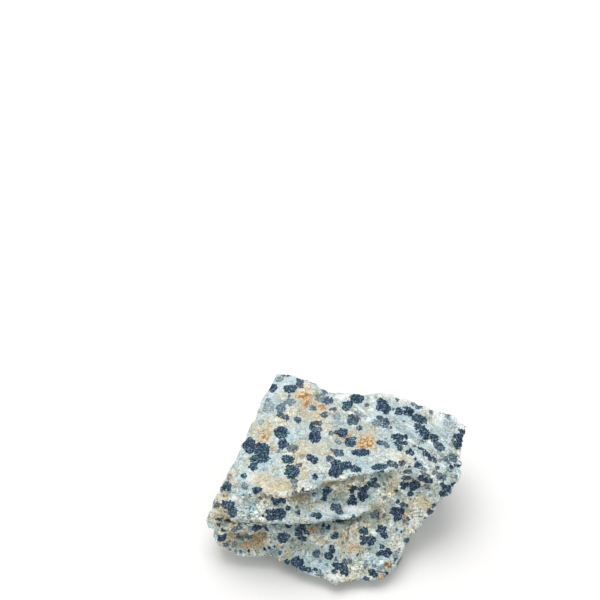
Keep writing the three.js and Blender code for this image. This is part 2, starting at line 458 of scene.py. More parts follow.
UPPER_LEFT = [
    (279, 379.5, 7, 5, GREY), (273, 388, 6, 7), (300, 383, 8, 7, SLATE), (291, 389, 13, 8),
    (289, 396, 3, 2, MID), (325, 391, 5, 4, MID), (320, 397, 11, 9, GREY), (328, 401, 11, 7, SLATE),
    (290, 402.5, 12, 6, GREY), (268, 400, 4, 3, GREY), (269, 407, 12, 11, FAINT), (281, 408, 10, 9, MID),
    (283, 416.5, 13, 5, SLATE, 25), (298, 420, 8, 5, SLATE, 20), (261, 422, 5, 4, FAINT),
    (313, 408, 7, 6, MID), (334, 409, 9, 4, SLATE), (337, 416, 8, 8, FAINT), (324, 414, 7, 7, SLATE),
    (316, 423, 11, 4, SLATE), (316, 429, 12, 4, SLATE), (312, 426, 4, 8), (315, 437, 12, 11),
    (281, 433, 13, 12), (288.5, 432, 2.5, 2.5, MID), (283, 444.5, 10, 9), (293, 448, 11, 7, MID),
    (278, 451, 4, 3, GREY), (249.5, 445, 13, 15), (262, 449.5, 15, 13), (260, 459, 18, 8),
    (253.3, 466.5, 8, 8), (265, 469, 4, 5, FAINT), (243.7, 475.8, 4.5, 4.5), (288, 459.5, 12, 8),
    (298.5, 465.5, 6, 5, MID), (292, 471, 13, 13), (301, 456, 5, 3, FAINT), (309.5, 457, 7, 6),
    (315, 460.5, 8, 6), (329, 458, 6, 6, SLATE), (332, 450, 2.5, 2, MID), (338.5, 453, 11, 6, SLATE, 15),
    (336, 464, 10, 9), (336, 472, 13, 9), (346, 465.5, 11, 8), (356, 469, 12, 6.5, DARK, 25),
    (315, 476.7, 6.5, 4.5), (341, 432.5, 12, 8), (331, 433, 5, 4, MID), (338, 442, 7, 5, GREY),
    (350, 442, 11, 10), (361, 452, 16, 6),
]

UPPER_RIGHT = [
    (357, 398.5, 14, 9), (347, 407, 10, 10), (353, 419.5, 12, 10, SLATE), (361, 415, 13, 4, FAINT, 35),
    (359.5, 428, 5, 4, SLATE), (366.5, 405, 5, 2.5, MID, 40), (382.7, 405.5, 13, 11), (389, 408, 4, 4),
    (380, 400.5, 7, 4), (386, 412, 5, 4), (380, 418, 6, 5, SLATE), (385.5, 423, 6, 10, SLATE),
    (376.5, 423, 10, 6, GREY), (399.5, 411.5, 7.5, 7), (408.5, 412, 9.5, 8), (405.5, 408, 4, 3, SLATE),
    (419.5, 419, 15, 7.5, DARK, 18), (420, 426.5, 11, 7, DARK, 20), (425.5, 434.5, 13, 9, DARK, 38),
    (434, 438.5, 7, 9, DARK, -30), (439.5, 447, 12, 7, SLATE, 35), (427, 453.5, 8, 5.5, DARK, 15),
    (433, 458.5, 9, 5, DARK, 25), (397.5, 437, 13, 5.5), (405.5, 437, 3.5, 4), (400.5, 443, 13, 4.5),
    (399.8, 449, 5, 6), (410, 452.5, 9, 5, DARK, 25), (379.5, 442.5, 5, 4), (385, 444, 10, 4.5, MID, 22),
    (386, 438.5, 2, 1.5, MID), (415.8, 459, 3, 2), (379.5, 467.5, 17, 6.5), (381.5, 472, 5, 4),
    (393, 464.5, 11.5, 5.5, SLATE, 22), (403, 463.7, 8.5, 4.5, SLATE, 25), (410, 466.5, 2.5, 1.5, SLATE),
    (418, 465.5, 8, 4, DARK, 15), (422, 468, 9, 3.5, MID, 30), (407, 471.5, 8, 4, SLATE),
    (406.5, 477.5, 8, 5, SLATE), (425, 474, 10, 2.5, MID, 30), (421.5, 477.5, 7, 5),
    (427.5, 480.5, 9, 5.5, DARK, 15), (442, 477, 11, 6.5, MID, 20), (436, 473.5, 7, 3, MID, 30),
    (437, 468, 3.5, 2.5, MID), (447, 461, 10, 4.5, MID, 42), (450.5, 466.5, 6, 2.5, DARK, 35),
    (453, 457.5, 10, 5.5, MID, 45), (458.5, 466, 8, 1.4, DARK, 42), (459, 436.5, 10, 4.5, DARK, 10),
    (460.5, 443.5, 8, 10), (465.3, 431.5, 2.2, 5.5, DARK, -10), (461, 430.8, 2.5, 3),
    (452.5, 440.5, 3, 3, MID), (447.5, 416.3, 3, 4, GREY), (450, 424, 13, 9, FAINT, 30),
    (431, 412.5, 4, 3, MID, 45), (413.3, 403.8, 3, 2.5, MID), (419, 406.8, 5, 2, SLATE),
    (397.5, 399.5, 2.5, 1.5, MID), (393.3, 409.4, 1.8, 1.5), (403.5, 421.3, 3, 1.5, GREY),
    (422, 441.5, 6, 2.5, MID, 35), (421, 448.5, 7, 2.5, DARK, 20), (414.5, 446.5, 4, 1.3, MID, 20),
    (416.8, 431.7, 2, 2.5, MID), (391, 427, 2.5, 2, SLATE), (448.5, 470, 6, 3, GREY, 30),
    (376, 398, 5, 2, FAINT, 30),
]

print(len(UPPER_LEFT + UPPER_RIGHT), "rosettes on the upper face")

# %% [markdown]
# The stepped front has its own rosettes: on the scoop under the lip, on the shelf, under the rim and on the
# long lower face. Some of them are grey or lilac, because the break runs just above the grains and a thin
# film of pale rock still covers them.

# %% Rosettes of the stepped front, as the photograph shows them
SHELF = [
    (294, 480.7, 6, 2.5, MID), (294, 486.3, 8, 5, GREY), (295, 492.5, 6, 4, MID),
    (244.3, 486, 8, 7, GREY), (257.2, 490, 9, 8.5), (225.3, 486, 9.5, 9.5), (220.5, 489.5, 3, 3, MID),
    (229, 476.5, 5, 4, FAINT), (276.5, 499.2, 9.5, 8.5), (283.5, 501, 5, 3), (303, 489.5, 3, 2.5),
    (313.8, 494, 3.5, 3.5, MID), (327, 491.5, 9, 8), (325, 498, 6, 6), (226.5, 504.5, 12, 8),
    (231.5, 512.5, 10, 10), (216.5, 505, 6, 5, MID), (288, 508.5, 5, 3), (268.3, 511.5, 5, 4),
    (277.5, 511.5, 12, 6), (274.5, 517.5, 16, 6), (283.5, 514.5, 7, 6), (263, 515.4, 2, 2),
    (298.5, 513, 3, 3), (299.2, 510.3, 2, 2, MID), (313.3, 515, 5, 4), (318.5, 516, 6, 5),
    (374, 480.5, 7, 6), (370.5, 484.5, 5.5, 5.5), (376.7, 486, 6.5, 3.5, SLATE), (353, 490, 9, 7),
    (352.5, 496.5, 4, 4), (352.2, 501.8, 10, 9), (364.7, 489, 9, 6), (362.5, 495.5, 10, 10),
    (335.5, 507.5, 9, 8, SLATE), (339, 512, 7, 4.5, SLATE), (363.8, 513, 2, 2), (353.5, 516, 2.5, 2),
    (404, 485.5, 8, 8), (414.5, 485.5, 11, 10), (410.5, 493.8, 6, 5), (397, 491, 2.2, 3),
    (425, 486.5, 6, 5, FAINT), (429, 488.5, 1.5, 1.5), (442.5, 484.5, 4, 4), (447.5, 489, 10, 7),
    (443, 494, 7, 5), (453.3, 484.5, 6, 1.8, DARK, -55),
]

LOWER_FACE = [
    (220, 519.5, 5, 2), (229, 521, 7, 2, DARK, 10), (219, 524, 2.5, 4), (223.8, 530.3, 5, 3),
    (224, 525, 5, 7, FAINT), (239.3, 526.5, 6, 5, MID), (233.5, 531.5, 6, 5, MID),
    (238.5, 537, 10, 3, MID, 30), (249, 536, 7, 5.5, MID), (221.5, 537.5, 11, 7),
    (234.5, 544.5, 5, 5, GREY), (226, 544.5, 5, 4, MID), (240.8, 551.3, 2.5, 2), (248.5, 551.3, 2, 1.5),
    (256.8, 528.6, 9, 7.5), (264, 526, 5, 2.5), (266.3, 529.5, 4, 3), (284, 538, 13, 9),
    (301, 528.5, 12, 5.5, DARK, -15), (298, 534, 7, 6), (307, 533.5, 7, 5.5), (301.5, 538.5, 8, 5.5),
    (323.5, 525, 4, 3), (328.5, 527.5, 4.5, 4), (321.5, 531, 8, 5, GREY), (335, 536.3, 7.5, 6.5),
    (264.5, 548.5, 2, 2), (269.5, 548, 3, 2), (274.5, 547, 2, 2), (274, 552, 13, 6, FAINT),
    (279, 552.5, 5, 3.5, SLATE), (287, 562, 4, 2), (297.5, 562.5, 11, 11), (305, 569, 10, 4, DARK, 15),
    (316.8, 554, 7, 7, SLATE), (332, 549, 7, 7), (329, 556, 9, 8), (335.5, 559, 3, 2, SLATE),
    (315.5, 569.5, 3.5, 3), (320, 573.5, 8, 6, GREY), (320.5, 561, 2, 4, FAINT), (336, 565.5, 8, 8),
    (334.5, 571, 5, 3), (344.5, 571, 9, 9), (341.5, 566, 4, 4), (347, 562.3, 9, 6, MID),
    (357.3, 554.7, 1.5, 1.5), (365.7, 564.5, 6.5, 7, GREY), (374, 565.5, 4, 3, GREY), (372, 571.2, 7, 6),
    (375, 574.5, 5, 5), (366.5, 579, 7, 3, SLATE), (386.5, 572.5, 3, 3), (364, 531.5, 8, 7.5),
    (364, 540, 7, 9), (371, 540.5, 10, 10), (381.7, 529.5, 11, 8), (384.7, 535.5, 7, 6),
    (374.5, 514, 8, 8, MID), (381.5, 515, 5, 8, FAINT), (396.5, 511, 11, 9), (402.8, 505, 5, 4, SLATE),
    (401.5, 511.5, 6, 7), (397, 518.5, 8, 5.5), (406.5, 505.5, 3, 3, SLATE), (398, 501.3, 3.5, 3),
    (406, 521, 6, 7, GREY), (408, 518.5, 3, 3, SLATE), (433.7, 505.8, 3.5, 2.5),
    (430.3, 511.5, 4.5, 4.5, SLATE), (396.5, 529.3, 2, 1.5), (401.5, 531.5, 1.5, 1.5),
    (399.5, 549.5, 1.5, 1.5), (406, 541, 5.5, 5.5, SLATE), (382, 546.3, 5, 3.5), (380.5, 553.5, 8, 6.5),
    (387.5, 553, 8, 9), (395.5, 554.5, 6, 8, GREY), (395.5, 558.5, 4, 3, SLATE),
]

seen_rosettes = [Rosette(*row) for row in UPPER_LEFT + UPPER_RIGHT + SHELF + LOWER_FACE]
print(len(seen_rosettes), "rosettes are listed from the photograph")

# %% [markdown]
# Now each rosette becomes grains. Its outline is an ellipse on the stone: petals go round just inside the
# outline, and more grains fill the middle. That is how a real rosette looks, with a lobed edge and small
# pale gaps. A rosette smaller than one grain is a single ball. All of it is random, but with a fixed seed,
# so the stone comes out the same every time.

# %% Pack each rosette with grains
GRAIN = 0.57  # mm, half the width of an average grain
GRAIN_SIZES = (0.84, 1.14)  # the smallest and the largest, of that
SINGLE = 1.15  # times a grain: a rosette smaller than this is one grain
INSET = 0.85  # of a grain, how far inside the outline the petals' middles are
PETAL_STEP = 0.9  # mm from one petal to the next
PETAL_STRAY = 0.22  # of a step
PETAL_REACH = (0.86, 1.12)  # from the middle, of the inset outline
INNER_STEP = 0.55  # mm between the grains that fill the middle
HEART = 0.8  # of the rosette's area, in which they are placed
TRIES = 30  # for each grain that would fit
OPEN_HEARTS = 0.05  # share of the rosettes whose middle is left pale

surface = BVHTree.FromObject(rock, bpy.context.evaluated_depsgraph_get())
pack_random = np.random.default_rng(SEED + 1)


class Grain(NamedTuple):
    """One dark grain: its middle and radius in mm, and how dark it is."""

    middle: tuple
    radius: float
    tone: float


def onto_stone(place):
    """The point of the stone's surface nearest to a place, in mm."""
    return surface.find_nearest(place * MM)[0] / MM


def packed(middle, half_wide, half_tall, tone):
    """The grains of one rosette, from its middle and its two half axes."""
    reach_wide, reach_tall = half_wide.length, half_tall.length
    if max(reach_wide, reach_tall) < GRAIN * SINGLE:
        return [Grain(tuple(onto_stone(middle)), (reach_wide + reach_tall) / 2, tone)]
    radius = min(GRAIN, min(reach_wide, reach_tall))
    inner_wide = half_wide * max(0, 1 - INSET * radius / reach_wide)
    inner_tall = half_tall * max(0, 1 - INSET * radius / reach_tall)
    spots = []
    round_length = math.pi * (inner_wide.length + inner_tall.length)
    petals = max(2, round(round_length / PETAL_STEP))
    start = pack_random.uniform(0, math.tau)
    for petal in range(petals):
        angle = start + math.tau * (petal + pack_random.uniform(-PETAL_STRAY, PETAL_STRAY)) / petals
        reach = pack_random.uniform(*PETAL_REACH)
        spots.append((math.cos(angle) * reach, math.sin(angle) * reach))
    tries = int(TRIES * reach_wide * reach_tall / GRAIN**2)
    if pack_random.random() < OPEN_HEARTS:
        tries = 0
    for _ in range(tries):
        angle = pack_random.uniform(0, math.tau)
        reach = math.sqrt(pack_random.uniform(0, HEART))
        spot = (math.cos(angle) * reach, math.sin(angle) * reach)
        offset = inner_wide * spot[0] + inner_tall * spot[1]
        if all((inner_wide * u + inner_tall * v - offset).length > INNER_STEP for u, v in spots):
            spots.append(spot)
    grains = []
    for u, v in spots:
        place = onto_stone(middle + inner_wide * u + inner_tall * v)
        grains.append(Grain(tuple(place), radius * pack_random.uniform(*GRAIN_SIZES), tone))
    return grains


def grains_of(rosette):
    """The grains of one rosette of the photograph, or none where the camera sees past the stone."""
    middle, out = seen_at(rosette.px, rosette.py)
    if middle is None:
        print("no stone at pixel", rosette.px, rosette.py)
        return []
    wide, tall = rosette.wide / PIXELS_PER_MM, rosette.tall / PIXELS_PER_MM
    sight = line_of_sight(rosette.px, rosette.py)
    return packed(middle, *axes_on(out, sight, wide, tall, math.radians(rosette.turn)), rosette.tone)


seen_grains = [grain for rosette in seen_rosettes for grain in grains_of(rosette)]
print(len(seen_grains), "grains on the side that the camera sees")

# %% [markdown]
# The photograph can't show the back, the ends and the underside, but the rosettes don't stop there. We
# scatter more of them over all the surface that the camera doesn't see, as close together and as large as
# those it does see, and keep them clear of the ones that are there already.

# %% Scatter rosettes over the hidden sides
HIDDEN_SPACING = 3.1  # mm between the middles of neighbouring rosettes
HIDDEN_TONES = [DARK, DARK, DARK, SLATE, SLATE, MID, GREY, FAINT]
HALF_SIZES = (0.35, 2.1)  # mm, the smallest and the largest half width
SPREAD_OF_SIZES = (2.2, 0.42)  # many are small and a few large, which is what a gamma draw gives
FLATTEST = 0.6  # height of the flattest rosette, of its width
SAME_PLACE = 1.2  # mm: a line of sight that ends nearer than this to a place sees it
CLEAR = 1.6  # mm that a new rosette stays away from the grains that are there


def hidden_from_camera(place):
    """True where something of the stone lies between the camera and a place on it."""
    to_place = place - CAMERA_PLACE
    hit = surface.ray_cast(CAMERA_PLACE * MM, to_place.normalized())[0]
    return hit is None or (hit / MM - place).length > SAME_PLACE


def scatter_hidden(mesh, known):
    """Grains of random rosettes on the surface that the camera doesn't see."""
    points, out = places(mesh), directions(mesh)
    centres = scattered(points, HIDDEN_SPACING, pack_random)
    taken = np.array([grain.middle for grain in known])
    grains = []
    for index in centres:
        place, normal = Vector(points[index]), Vector(out[index])
        if not hidden_from_camera(place):
            continue
        if np.min(np.sum((taken - points[index]) ** 2, axis=1)) < CLEAR**2:
            continue
        half = min(HALF_SIZES[1], HALF_SIZES[0] + pack_random.gamma(*SPREAD_OF_SIZES))
        stretch = pack_random.uniform(FLATTEST, 1)
        along = normal.orthogonal().normalized()
        along.rotate(normal.to_track_quat("Z", "X"))
        across = normal.cross(along).normalized()
        along = across.cross(normal)
        tone = HIDDEN_TONES[pack_random.integers(len(HIDDEN_TONES))]
        grains += packed(place, along * half, across * half * stretch, tone)
    return grains


hidden_grains = scatter_hidden(rock.data, seen_grains)
print(len(hidden_grains), "grains on the hidden sides")

# %% [markdown]
# The material has to know, at every vertex, how far it is from the nearest grain and how dark that grain is.
# The distance is in mm from the grain's surface, and below zero inside it. It is stored as an attribute,
# which is a number that each vertex carries and a material can read. Because the distance changes smoothly,
# the material can cut a sharp edge out of it between the vertices.

# %% Tell every vertex how near it is to a grain
FAR_FROM_GRAINS = 3.0  # mm, beyond which the distance isn't needed
NEAR_GRAINS = 4  # how many of the nearest middles can belong to the nearest grain


def mark_grains(mesh, grains):
    """Stores the distance to the nearest grain's surface, in mm, and that grain's tone."""
    middles = [Vector(grain.middle) for grain in grains]
    radii = np.array([grain.radius for grain in grains])
    tones = np.array([grain.tone for grain in grains])
    indices, gaps = nearest(places(mesh), middles, NEAR_GRAINS)
    to_surface = gaps - radii[indices]
    first = to_surface.argmin(axis=1)
    rows = np.arange(len(first))
    store(mesh, "grain_distance", np.minimum(to_surface[rows, first], FAR_FROM_GRAINS))
    store(mesh, "grain_tone", tones[indices[rows, first]])
    return to_surface[rows, first]


grain_distance = mark_grains(rock.data, seen_grains + hidden_grains)
print("share of the surface that is dark:", round(float((grain_distance < 0).mean()), 2))

# %% [markdown]
# Water has crept into the rock along its cracks and left rust: a few orange patches, tan ground around them,
# and a brown bruise at the lower left. The brown patches under the lip and the rim are painted shade. Other
# patches are paler or bluer than the rest; among the white ones, those on the shelf and along the lip and the
# rim are painted highlights. They have no sharp edge, so a soft patch at each is enough, and the material
# breaks its edge up with noise later. A row is a patch's middle, width and height in pixels, then its
# strength.

# %% Stains and patches of the ground
RUST = [
    (365, 444.5, 19, 13, 1.0), (303, 396, 16, 8, 0.8), (310, 405, 14, 9, 0.9), (322, 407, 12, 7, 0.8),
    (335, 400, 8, 6, 0.5), (265, 438, 7, 6, 0.9), (273, 449, 6, 5, 0.8), (346, 437, 9, 6, 0.9),
    (338, 434, 7, 4, 0.7), (389, 421, 4, 10, 0.6), (374, 428, 6, 4, 0.6), (249, 486, 5, 5, 0.7),
    (403.5, 515, 5, 6, 1.2), (405, 524, 6, 5, 0.7), (388, 565, 9, 8, 0.7), (353, 548, 12, 9, 0.4),
    (240.5, 532, 5, 4, 1.1), (246.5, 546, 10, 3, 0.9), (259, 543, 10, 5, 0.8), (312, 530, 9, 9, 0.8),
    (334, 529, 7, 4, 0.6), (382, 576, 9, 4, 1.2), (223, 542.5, 5, 4, 0.8), (225, 496, 8, 4, 0.7),
    (233, 522, 7, 3, 1.1), (278, 546, 5, 6, 0.5),
]
TAN = [
    (313, 408, 50, 34, 0.7), (262, 428, 26, 24, 0.7), (312, 450, 44, 26, 0.45), (278, 486, 44, 20, 0.65),
    (262, 478, 26, 22, 0.6), (365, 438, 34, 26, 0.6), (402, 456, 30, 14, 0.35), (395, 482, 16, 26, 0.55),
    (415, 503, 30, 12, 0.9), (428, 506, 14, 10, 0.7), (325, 539, 30, 8, 0.7), (288, 553, 12, 20, 0.5),
    (300, 532, 60, 8, 0.4), (395, 545, 30, 40, 0.35), (355, 548, 26, 12, 0.5), (222, 516, 26, 40, 0.5),
    (382, 503, 14, 16, 0.4), (338, 490, 26, 16, 0.35), (245, 540, 50, 26, 0.7), (340, 540, 70, 30, 0.4),
    (405, 520, 40, 30, 0.5),
]
# brown stains, and painted shade under the lip and the rim
BROWN_STAINS_AND_SHADE = [
    (257, 537, 26, 13, 0.75), (236, 546, 26, 8, 0.5), (228, 520, 24, 5, 0.6), (218, 538, 14, 10, 0.4),
    (320, 526, 20, 6, 0.6), (304, 498, 20, 9, 1.0), (331, 483, 20, 7, 1.0), (372, 474, 14, 4, 0.35),
    (385, 574, 10, 6, 0.5), (245, 550, 18, 4, 0.4),
]
BLUE = [
    (450, 422, 26, 22, 0.8), (438, 468, 34, 26, 0.7), (415, 473, 22, 20, 0.6), (398, 447, 20, 14, 0.6),
    (295, 480, 12, 22, 0.9), (262, 462, 18, 14, 0.7), (355, 415, 26, 20, 0.7), (335, 415, 16, 14, 0.5),
    (272, 405, 18, 22, 0.6), (300, 512, 36, 12, 0.7), (355, 508, 26, 9, 0.5), (272, 551, 22, 9, 0.8),
    (322, 558, 40, 24, 0.8), (300, 563, 30, 16, 0.6), (385, 545, 20, 26, 0.5), (250, 505, 30, 14, 0.5),
    (430, 425, 20, 14, 0.4), (225, 525, 10, 12, 0.8), (360, 465, 60, 10, 0.6), (415, 430, 90, 40, 1.0),
    (300, 425, 30, 20, 0.4),
]
# pale rock, and painted highlights on the shelf and along the lip and the rim
WHITE_ROCK_AND_HIGHLIGHTS = [
    (326, 509, 18, 9, 1.3), (354, 509, 26, 8, 0.9), (345, 397, 40, 8, 0.8), (405, 399, 50, 8, 0.9),
    (452, 417, 40, 22, 1.0), (211, 514, 10, 18, 0.5), (236, 500, 20, 12, 0.6), (366, 419, 14, 7, 0.7),
    (350, 477, 50, 4, 0.5), (285, 495, 26, 4, 0.5), (250, 475, 14, 30, 0.5), (415, 522, 30, 14, 0.55),
    (400, 548, 16, 20, 0.5), (350, 516, 28, 3, 0.8), (330, 577, 40, 8, 0.6), (302, 484, 8, 8, 0.5),
    (220, 500, 12, 26, 0.5), (285, 384, 30, 9, 0.4),
]
STREAKS = [(432, 450, 84, 44, 1.8, 30), (355, 412, 34, 26, 0.9, 30)]
GROUND_PATCHES = {"streak": STREAKS, "rust": RUST, "tan": TAN, "brown": BROWN_STAINS_AND_SHADE, "blue": BLUE, "white": WHITE_ROCK_AND_HIGHLIGHTS}

for patch_name, patches in GROUND_PATCHES.items():
    cover = cover_of(places(rock.data), patches)
    store(rock.data, "patch_" + patch_name, cover)
    print(patch_name, "patches:", len(patches), "covering about", round(float(cover.mean()), 3))

# %% [markdown]
# Thin, almost black lines run along a few cracks and just under the lip and the rim: in the cracks they are
# dirt, under the lip and the rim they are painted shadow where the edge hangs over. Under the lip and the rim
# a wider band of painted shade darkens the ground too. Both are paths of pixels like the edges of the break,
# and each vertex stores how far it is from them.

# %% Dark cracks with painted shadow lines, and painted shade under the edges
# dirt in thin cracks, and painted shadow lines just under the lip and the rim
DARK_CRACKS_AND_SHADOW_LINES = [
    [(301, 491.5), (308, 491.5), (314, 490), (319, 489)],
    [(250, 521.5), (258, 523), (266, 524.5)],
    [(282, 524), (296, 525), (310, 524)],
    [(324, 522), (334, 521.5), (343, 520.5), (352, 519), (361, 517)],
    [(216, 519), (226, 520), (235, 523.5)],
    [(453, 461), (458, 465), (462, 469)],
    [(370, 575), (378, 571), (385, 573)],
]
# painted shade: bands under the lip and the rim, where shade falls
UNDER_EDGE_SHADE = [
    [(262, 493), (270, 497), (281, 498.5), (292, 496.5), (303, 493), (318, 490.5)],
    [(319, 489.5), (322, 485), (331, 483.5), (341, 481), (352, 477.5), (366, 475)],
    [(228, 519.5), (236, 520.5), (257, 522.5), (272, 524), (286, 525), (306, 523.5)],
    [(306, 523.5), (323, 521.5), (340, 521.5), (352, 520.5), (366, 516.5)],
]

for line_name, paths in {"dirt_and_shadow_line": DARK_CRACKS_AND_SHADOW_LINES, "under_edge_shade": UNDER_EDGE_SHADE}.items():
    line_points = [place for path in paths for place in along(path)]
    store(rock.data, line_name + "_distance", nearest(places(rock.data), line_points, 1)[1][:, 0])
    print(line_name, "lines:", len(paths))

# %% [markdown]
# Colours are written as sRGB hex, as a colour picker shows them. Blender's shaders count in linear light, so
# one function turns them. A second small function adds a node: it takes the node's kind, its settings, and
# what goes into its sockets. That is a plain value, a hex colour, an output of another node, or a whole node,
# which then gives its first output. Some nodes hide several sockets of one name, so the function takes the
# one that is in use. Where two in use share a name, as in Math, we give their number instead.

# %% Colours and nodes
def linear(hex_colour):
    """A hex colour in sRGB as the linear red, green, blue and alpha that a shader wants."""
    channels = [int(hex_colour[i : i + 2], 16) / 255 for i in (0, 2, 4)]
    return [c / 12.92 if c <= 0.04045 else ((c + 0.055) / 1.055) ** 2.4 for c in channels] + [1]


def in_use(sockets, name=None):
    """The first socket in use, of those with the name if one is given."""
    return next(socket for socket in sockets if socket.enabled and name in (None, socket.name))


def add(tree, kind, inputs=None, stops=(), **settings):
    """Adds a node with its settings, the stops of its colour ramp, and its sockets' values or links."""
    made = tree.nodes.new("ShaderNode" + kind)
    for key, value in settings.items():
        setattr(made, key, value)
    while stops and len(made.color_ramp.elements) < len(stops):
        made.color_ramp.elements.new(0.5)
    for index, (position, colour) in enumerate(stops):
        made.color_ramp.elements[index].position = position
        made.color_ramp.elements[index].color = linear(colour)
    for key, value in (inputs or {}).items():
        socket = made.inputs[key] if isinstance(key, int) else in_use(made.inputs, key)
        if isinstance(value, bpy.types.Node):
            value = in_use(value.outputs)
        if isinstance(value, bpy.types.NodeSocket):
            tree.links.new(value, socket)
        else:
            socket.default_value = linear(value) if isinstance(value, str) else value
    return made


def per_mm(size):
    """The scale of a texture whose features are this many mm across, on coordinates in metres."""
    return 1 / (size * MM)


def blank_material(name):
    """A new material with an empty node tree."""
    material = bpy.data.materials.new(name)
    material.use_nodes = True
    material.node_tree.nodes.clear()
    return material, material.node_tree


print("slate blue 2f4a63 in linear light:", [round(c, 3) for c in linear("2f4a63")[:3]])

# %% [markdown]
# The stone is feldspar, broken and never polished. Its ground is a mix of crystals 2 to 6 mm across, each a
# little creamier, whiter or bluer than the next. We start from a slow noise that wanders through four pale
# colours. A second noise shifts their hue and strength a little, as no two crystals are quite the same.

# %% Material, broken feldspar: the pale ground
rock_material, tree = blank_material("broken_feldspar")
place = add(tree, "TexCoord").outputs["Object"]

stored_names = ["rough", "hollow", "dirt_and_shadow_line_distance", "under_edge_shade_distance", "grain_distance", "grain_tone"]
stored_names += ["patch_" + patch_name for patch_name in GROUND_PATCHES]
stored = {name: add(tree, "Attribute", attribute_name=name).outputs["Fac"] for name in stored_names}

zones = add(tree, "TexNoise", {"Vector": place, "Scale": per_mm(6), "Detail": 3.0, "Roughness": 0.6})
pale_mix = [(0.36, "bcd6e0"), (0.46, "cddfe2"), (0.54, "dae3dd"), (0.64, "e6dfc9")]
ground = add(tree, "ValToRGB", {"Fac": zones}, stops=pale_mix)

tint = add(tree, "TexNoise", {"Vector": place, "Scale": per_mm(2.2), "Detail": 2.0}).outputs["Color"]
tint = add(tree, "SeparateColor", {"Color": tint}).outputs
inputs = {"Value": tint["Red"], "From Min": 0.35, "From Max": 0.65, "To Min": 0.485, "To Max": 0.515}
hue = add(tree, "MapRange", inputs)
inputs = {"Value": tint["Green"], "From Min": 0.35, "From Max": 0.65, "To Min": 0.4, "To Max": 1.45}
strength = add(tree, "MapRange", inputs)
ground = add(tree, "HueSaturation", {"Hue": hue, "Saturation": strength, "Color": ground})
print("values read from the vertices:", ", ".join(stored_names))

# %% [markdown]
# Each crystal is built of grains under a millimetre, and each grain throws the light back a little lighter or
# darker. A cell pattern gives every cell its own random colour, and its red part alone picks the shade. We
# use it at four sizes. The coordinates are bent by a small noise first, so that no grain has straight sides.
# On rough ground the shades spread wider and are lighter on the whole: the wider spread is the coarser grain,
# and the lighter mean is painted fill light, the light that the white card throws back onto the front.

# %% Material, broken feldspar: light and dark grains
WANDER = 0.6  # mm that a grain's side may bend
CRYSTALS_AND_ROUGH_FILL = [
    # mm across, then the darkest and lightest shade on the calm upper face, and on rough ground, lighter
    # there as painted fill light
    (2.8, (0.88, 1.03), (0.93, 1.17)),
    (1.3, (0.83, 1.07), (0.84, 1.31)),
    (0.65, (0.86, 1.1), (0.82, 1.28)),
    (0.36, (0.8, 1.14), (0.75, 1.31)),
]

wander = add(tree, "TexNoise", {"Vector": place, "Scale": per_mm(1.2), "Detail": 2.0}).outputs["Color"]
wander = add(tree, "VectorMath", {0: wander, 1: (0.5, 0.5, 0.5)}, operation="SUBTRACT")
wander = add(tree, "VectorMath", {0: wander, "Scale": WANDER * MM}, operation="SCALE")
bent = add(tree, "VectorMath", {0: place, 1: wander}, operation="ADD")

# rough ground faces the front, is steep or has crumbled; its lighter shades are partly painted fill light
rough = add(tree, "MapRange", {"Value": stored["rough"], "From Max": 0.85, "To Min": 0.15})
for size, calm, coarse in CRYSTALS_AND_ROUGH_FILL:
    cells = add(tree, "TexVoronoi", {"Vector": bent, "Scale": per_mm(size)}).outputs["Color"]
    pick = add(tree, "SeparateColor", {"Color": cells})
    darkest = add(tree, "MapRange", {"Value": rough, "To Min": calm[0], "To Max": coarse[0]})
    lightest = add(tree, "MapRange", {"Value": rough, "To Min": calm[1], "To Max": coarse[1]})
    shade = add(tree, "MapRange", {"Value": pick, "To Min": darkest, "To Max": lightest})
    ground = add(tree, "VectorMath", {0: ground, "Scale": shade}, operation="SCALE")
print("nodes of the ground:", len(tree.nodes))

# %% [markdown]
# Everything else comes in layers over the ground, from dirt up to the rosettes. A layer says what drives it,
# where its cut starts and is full, the most that it covers, and its colour. We collect the layers in a list
# and turn them to nodes at the end, so each finish is a line or two. The first is dirt: a thin film, then the
# borders between grains, which are the far parts of a cell pattern, and hairline seams between the larger
# crystals. Last in this cell comes painted shade: the hollows of the break are darkened as if shade lay
# there.

# %% Material, broken feldspar: dirt, and painted shade in the hollows
class Layer(NamedTuple):
    """A colour over the ground: what drives it, its cut from nothing to full, and the most that it covers."""

    driver: object
    start: float
    full: float
    most: object
    colour: object
    blend: str = "MIX"


inputs = {"Vector": bent, "Scale": per_mm(2.4)}
seams = add(tree, "TexVoronoi", inputs, feature="DISTANCE_TO_EDGE")
open_seams = add(tree, "TexNoise", {"Vector": place, "Scale": per_mm(3), "Detail": 2.0})
inputs = {"Value": open_seams, "From Min": 0.44, "From Max": 0.54, "To Max": 0.75}
open_seams = add(tree, "MapRange", inputs)
film = add(tree, "TexNoise", {"Vector": place, "Scale": per_mm(1.8), "Detail": 3.0, "Roughness": 0.6})
most_film = add(tree, "MapRange", {"Value": rough, "From Max": 0.8, "To Min": 0.2, "To Max": 0.42})
borders = add(tree, "TexVoronoi", {"Vector": bent, "Scale": per_mm(0.95)})
most_dirt = add(tree, "MapRange", {"Value": rough, "To Max": 0.42})
layers = [
    Layer(film, 0.48, 0.66, most_film, "b9c3ae"),
    Layer(borders, 0.48, 0.7, most_dirt, "98a28e"),
    Layer(seams, 0.06, 0.02, open_seams, "8b917c"),
    # painted shade: the deeper a hollow of the break, the darker its ground
    Layer(stored["hollow"], 0.1, 0.7, 0.45, "8b9480"),
]
print("layers with the dirt:", len(layers))

